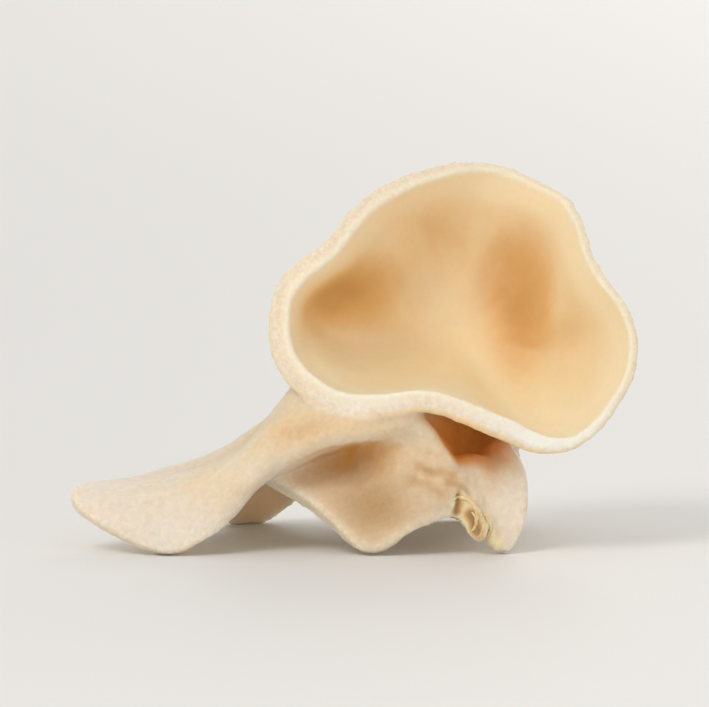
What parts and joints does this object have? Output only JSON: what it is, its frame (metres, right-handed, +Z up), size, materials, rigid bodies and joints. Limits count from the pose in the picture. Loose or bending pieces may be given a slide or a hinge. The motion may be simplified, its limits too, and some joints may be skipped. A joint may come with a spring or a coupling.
{
  "type": "wood ear mushroom",
  "caption": "Dried wood ear mushroom: a deep folded cup with a thick pale lip on a ruffled skirt of lobes, with a torn stub.",
  "frame": {"origin": "middle of the bounding box's underside, on the surface the ear rests on", "axes": "+Z up, the cup opens towards -Y, the long lobe points towards -X"},
  "size_m": [0.0386, 0.0216, 0.0258],
  "materials": {
    "ear_flesh": "dry waxy cream flesh, smooth inside and finely velvety outside"
  },
  "bodies": {
    "root": {"wood_ear": "ear_flesh"}
  },
  "joints": []
}
